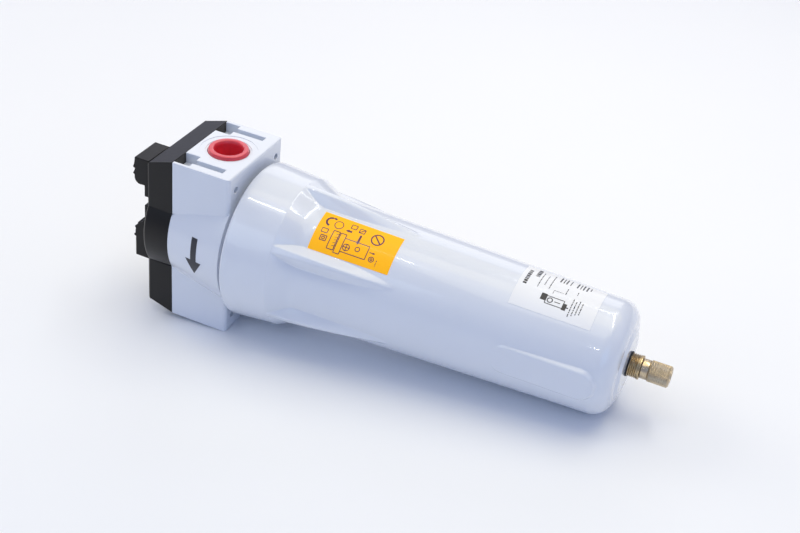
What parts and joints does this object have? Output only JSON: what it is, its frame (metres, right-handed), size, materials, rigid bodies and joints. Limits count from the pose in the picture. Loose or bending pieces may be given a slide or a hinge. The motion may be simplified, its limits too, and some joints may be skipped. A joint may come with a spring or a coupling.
{
  "type": "compressed air filter",
  "caption": "In-line compressed air filter: rectangular head with two threaded ports, ridged screw-on bowl, pleated element inside, and a float drain with a knurled knob.",
  "frame": {"origin": "on the filter's axis, in the head's face towards the bowl, at the centre of the four bracket holes", "axes": "+X along the filter's axis from the head to the drain; +Z along the port axis, from the outlet port to the inlet port; Y across the head's flat sides"},
  "size_m": [0.3953, 0.1156, 0.1307],
  "materials": {
    "lacquer": "gloss white lacquer",
    "black_plastic": "fine-grained black moulding",
    "steel": "plain",
    "brass": "turned",
    "rubber": "matt",
    "red_plastic": "moulded, slightly translucent",
    "print": "printed film",
    "label_orange": "printed film",
    "label_white": "printed film",
    "grey_plastic": "moulded",
    "medium": "pleated borosilicate medium",
    "foam": "drainage sock",
    "float_plastic": "foamed plastic"
  },
  "bodies": {
    "head": {"filter_head": "lacquer", "top_cover": "black_plastic", "cover_screws": "steel", "indicator_plug": "brass", "indicator_plug_seal": "rubber", "flow_arrow": "print"},
    "indicator_cap": {"indicator_cap": "black_plastic"},
    "port_plug": {"port_plug": "red_plastic"},
    "bowl_seal": {"bowl_seal": "rubber"},
    "bowl": {"bowl": "lacquer", "instruction_label": "label_orange", "rating_label": "label_white", "float_housing": "grey_plastic", "float_guide": "steel", "pilot_jet": "brass", "drain_strainer": "steel", "drain_washer": "rubber", "drain_fitting": "brass"},
    "element": {"element_top_cap": "grey_plastic", "element_o_rings": "rubber", "element_core": "steel", "filter_medium": "medium", "element_screen": "steel", "drainage_sock": "foam", "element_bottom_cap": "grey_plastic"},
    "float": {"drain_float": "float_plastic", "float_pad": "rubber"},
    "spindle": {"drain_spindle": "brass", "spindle_o_ring": "rubber"},
    "drain_knob": {"drain_knob": "brass"}
  },
  "joints": [
    {"name": "bowl_advance", "type": "slide", "parent": "head", "child": "bowl_seal", "axis": [1, 0, 0], "range_m": [0, 0.016]},
    {"name": "bowl_unscrew", "type": "hinge", "parent": "bowl_seal", "child": "bowl", "pos_m": [0, 0, 0], "axis": [1, 0, 0], "range_deg": [0, 1440]},
    {"name": "element_pull", "type": "slide", "parent": "head", "child": "element", "axis": [1, 0, 0], "range_m": [0, 0.016]},
    {"name": "port_plug_pull", "type": "slide", "parent": "head", "child": "port_plug", "axis": [0, 0, 1], "range_m": [0, 0.02]},
    {"name": "indicator_cap_pull", "type": "slide", "parent": "head", "child": "indicator_cap", "axis": [-1, 0, 0], "range_m": [0, 0.006]},
    {"name": "float_rise", "type": "slide", "parent": "bowl", "child": "float", "axis": [-1, 0, 0], "range_m": [0, 0.01]},
    {"name": "spindle_travel", "type": "slide", "parent": "bowl", "child": "spindle", "axis": [1, 0, 0], "range_m": [0, 0.002]},
    {"name": "knob_turn", "type": "hinge", "parent": "spindle", "child": "drain_knob", "pos_m": [0.3, 0, 0], "axis": [1, 0, 0], "range_deg": [0, 720]}
  ],
  "couplings": [
    {"joint": "bowl_advance", "follows": "bowl_unscrew", "m_per_rad": 0.0006366},
    {"joint": "knob_turn", "follows": "spindle_travel", "rad_per_m": 6283.2}
  ]
}
